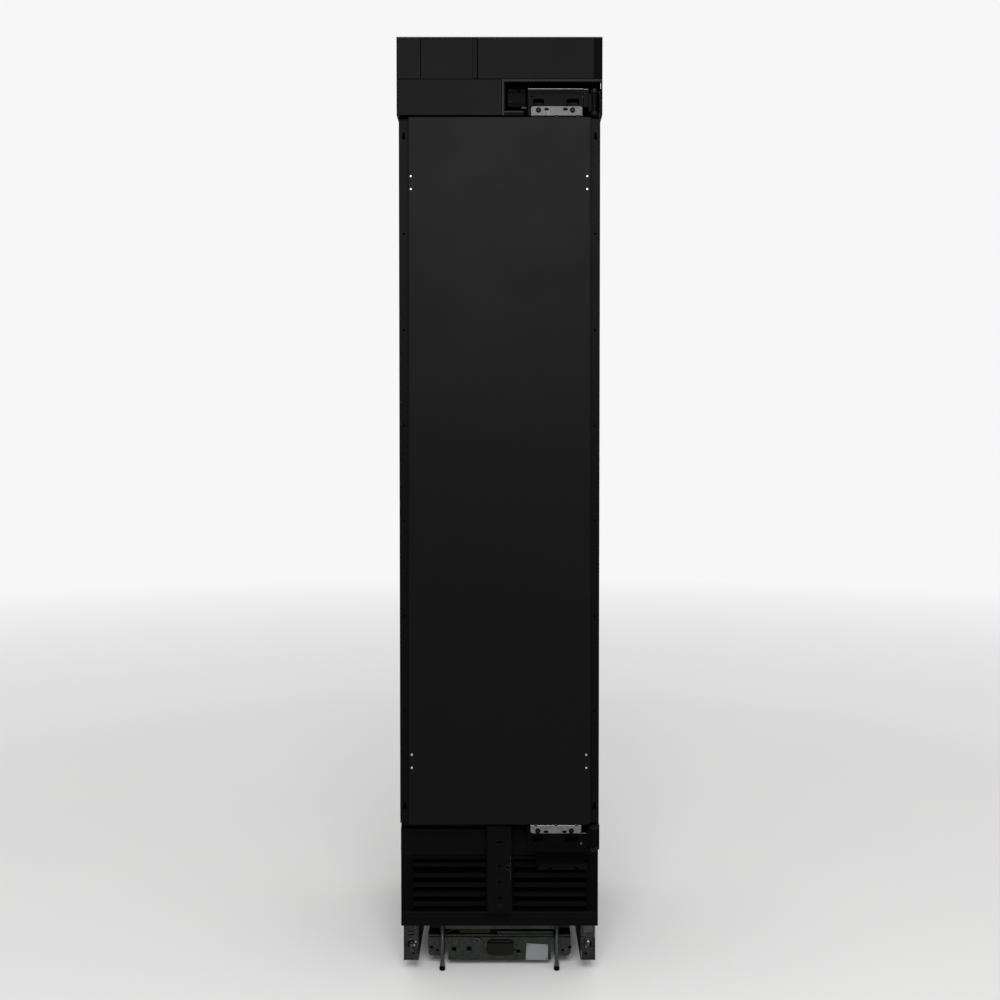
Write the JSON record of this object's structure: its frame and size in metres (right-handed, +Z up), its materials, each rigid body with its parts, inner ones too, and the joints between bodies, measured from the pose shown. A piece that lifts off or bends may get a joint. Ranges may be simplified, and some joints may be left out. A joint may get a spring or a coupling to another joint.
{
  "type": "column freezer",
  "caption": "Tall narrow panel-ready built-in freezer with a right-hinged door, black front, louvred toe grille and zinc levelling base.",
  "frame": {"origin": "centre of the footprint on the floor, under the middle of the cabinet", "axes": "+Z up, -Y towards the viewer of the door, +X to the viewer's right, which is the hinge side"},
  "size_m": [0.4508, 0.6318, 2.1177],
  "materials": {
    "black_paint": "satin black paint on steel sheet",
    "black_plastic": "fine matte moulded black",
    "white_plastic": "semi-gloss moulded white",
    "clear_plastic": "clear moulded plastic",
    "zinc": "zinc-plated sheet, bright and slightly mottled",
    "steel": "turned bright steel",
    "foam": "rigid insulating foam",
    "gasket_rubber": "soft black seal",
    "aluminium": "plain finned aluminium",
    "compressor_black": "semi-gloss black enamel",
    "glass": "tempered glass with a moulded rim",
    "grey_plastic": "matte moulded grey"
  },
  "bodies": {
    "cabinet": {"side_panel_left": "black_paint", "side_panel_right": "black_paint", "top_panel": "black_paint", "rear_panel": "zinc", "machine_rear_cover": "zinc", "cabinet_foam": "foam", "inner_liner": "white_plastic", "fascia_upper_left": "black_paint", "fascia_upper_middle": "black_paint", "fascia_upper_right": "black_paint", "fascia_lower_left": "black_paint", "hinge_pocket": "black_plastic", "control_box": "grey_plastic", "cross_panel": "black_paint", "toe_grille": "black_plastic", "centre_strut": "black_paint", "base_pan": "black_paint", "base_cross_plate": "zinc", "base_rail_left": "zinc", "base_rail_right": "zinc", "evaporator_cover": "white_plastic", "evaporator_coil": "aluminium", "shelf_upper": "glass", "shelf_middle": "glass", "ice_maker": "grey_plastic", "compressor": "compressor_black", "condenser_coil": "aluminium", "condenser_shroud": "black_plastic", "drain_pan": "black_plastic", "hinge_leaf_top": "steel", "hinge_leaf_bottom": "steel", "hinge_pin_top": "steel", "hinge_pin_bottom": "steel"},
    "door": {"door_pan": "black_paint", "door_foam": "foam", "door_liner": "white_plastic", "door_gasket": "gasket_rubber", "door_trim_left": "black_paint", "door_trim_right": "black_paint", "door_bin_lower": "clear_plastic", "door_bin_middle": "clear_plastic", "door_bin_upper": "clear_plastic", "hinge_housing_top": "black_plastic", "hinge_housing_bottom": "black_plastic", "hinge_plate_top": "zinc", "hinge_plate_bottom": "zinc"},
    "freezer_drawer": {"freezer_drawer": "clear_plastic"},
    "ice_bin": {"ice_bin": "clear_plastic"},
    "ice_ejector": {"ice_ejector": "white_plastic"},
    "ice_maker_arm": {"ice_maker_arm": "steel"},
    "evaporator_fan": {"evaporator_fan": "black_plastic"},
    "condenser_fan": {"condenser_fan": "black_plastic"},
    "leg_left": {"leg_left": "zinc"},
    "leg_right": {"leg_right": "zinc"},
    "adjuster_left": {"adjuster_left": "steel"},
    "adjuster_right": {"adjuster_right": "steel"},
    "rear_lift_left": {"rear_lift_left": "zinc"},
    "rear_lift_right": {"rear_lift_right": "zinc"},
    "roller_left": {"roller_left": "grey_plastic"},
    "roller_right": {"roller_right": "grey_plastic"}
  },
  "joints": [
    {"name": "door_swing", "type": "hinge", "parent": "cabinet", "child": "door", "pos_m": [0.209, -0.3009, 1.1625], "axis": [0, 0, 1], "range_deg": [0, 115]},
    {"name": "freezer_drawer_slide", "type": "slide", "parent": "cabinet", "child": "freezer_drawer", "axis": [0, -1, 0], "range_m": [0, 0.07]},
    {"name": "ice_bin_slide", "type": "slide", "parent": "cabinet", "child": "ice_bin", "axis": [0, -1, 0], "range_m": [0, 0.07]},
    {"name": "ice_ejector_turn", "type": "hinge", "parent": "cabinet", "child": "ice_ejector", "pos_m": [-0.1391, 0.1276, 1.8417], "axis": [1, 0, 0], "continuous": true},
    {"name": "ice_maker_arm_lift", "type": "hinge", "parent": "cabinet", "child": "ice_maker_arm", "pos_m": [-0.1391, 0.0703, 1.8147], "axis": [-1, 0, 0], "range_deg": [0, 45]},
    {"name": "evaporator_fan_spin", "type": "hinge", "parent": "cabinet", "child": "evaporator_fan", "pos_m": [0, 0.1949, 1.3004], "axis": [0, -1, 0], "continuous": true},
    {"name": "condenser_fan_spin", "type": "hinge", "parent": "cabinet", "child": "condenser_fan", "pos_m": [-0.08, -0.1403, 0.2136], "axis": [0, -1, 0], "continuous": true},
    {"name": "leg_left_extend", "type": "slide", "parent": "cabinet", "child": "leg_left", "axis": [0, 0, -1], "range_m": [0, 0.03]},
    {"name": "leg_right_extend", "type": "slide", "parent": "cabinet", "child": "leg_right", "axis": [0, 0, -1], "range_m": [0, 0.03]},
    {"name": "adjuster_left_turn", "type": "hinge", "parent": "cabinet", "child": "adjuster_left", "pos_m": [-0.20415, -0.2209, 0.068], "axis": [0, -1, 0], "range_deg": [0, 4801]},
    {"name": "adjuster_right_turn", "type": "hinge", "parent": "cabinet", "child": "adjuster_right", "pos_m": [0.20415, -0.2209, 0.068], "axis": [0, -1, 0], "range_deg": [0, 4801]},
    {"name": "rear_lift_left_extend", "type": "slide", "parent": "cabinet", "child": "rear_lift_left", "axis": [0, 0, -1], "range_m": [0, 0.02]},
    {"name": "rear_lift_right_extend", "type": "slide", "parent": "cabinet", "child": "rear_lift_right", "axis": [0, 0, -1], "range_m": [0, 0.02]},
    {"name": "roller_left_roll", "type": "hinge", "parent": "rear_lift_left", "child": "roller_left", "pos_m": [-0.2066, 0.2579, 0.02], "axis": [1, 0, 0], "continuous": true},
    {"name": "roller_right_roll", "type": "hinge", "parent": "rear_lift_right", "child": "roller_right", "pos_m": [0.2066, 0.2579, 0.02], "axis": [1, 0, 0], "continuous": true}
  ],
  "couplings": [
    {"joint": "adjuster_left_turn", "follows": "rear_lift_left_extend", "rad_per_m": 4188.8},
    {"joint": "adjuster_right_turn", "follows": "rear_lift_right_extend", "rad_per_m": 4188.8}
  ]
}
